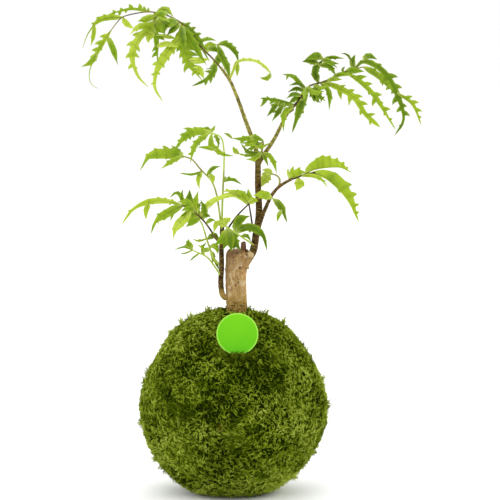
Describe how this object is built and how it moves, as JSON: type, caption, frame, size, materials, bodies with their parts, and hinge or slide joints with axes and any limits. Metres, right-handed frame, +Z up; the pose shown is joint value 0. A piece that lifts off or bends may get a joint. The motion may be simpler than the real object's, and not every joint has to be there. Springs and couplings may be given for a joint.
{
  "type": "kokedama moss ball plant",
  "caption": "Fern-leaved aralia on a cut cane trunk, growing from a round moss ball, with a round blank label tag on a pick",
  "frame": {"origin": "middle of the flat spot that the moss ball rests on", "axes": "+Z up along the plant, -Y to the front, where the label tag stands, +X to the right as seen from the front"},
  "size_m": [0.2839, 0.159, 0.4094],
  "materials": {
    "moss": "matt fibrous sheet moss",
    "soil": "moist potting soil",
    "cane": "dry tan bark",
    "shoot": "ringed dark bark",
    "leaf": "fresh satin leaf",
    "tag": "glossy bright green"
  },
  "bodies": {
    "root": {"moss_wrap": "moss", "soil_ball": "soil", "cane_trunk": "cane", "right_shoot": "shoot", "left_shoot": "shoot", "label_tag": "tag", "frond_top_left": "leaf", "frond_top_right": "leaf", "frond_right": "leaf", "frond_right_low": "leaf", "frond_right_back": "leaf", "frond_fork": "leaf", "frond_upper_left": "leaf", "frond_mid_left": "leaf", "frond_left": "leaf", "frond_lower_left": "leaf", "frond_lower_back": "leaf", "frond_centre": "leaf", "frond_stump_top": "leaf"}
  },
  "joints": []
}
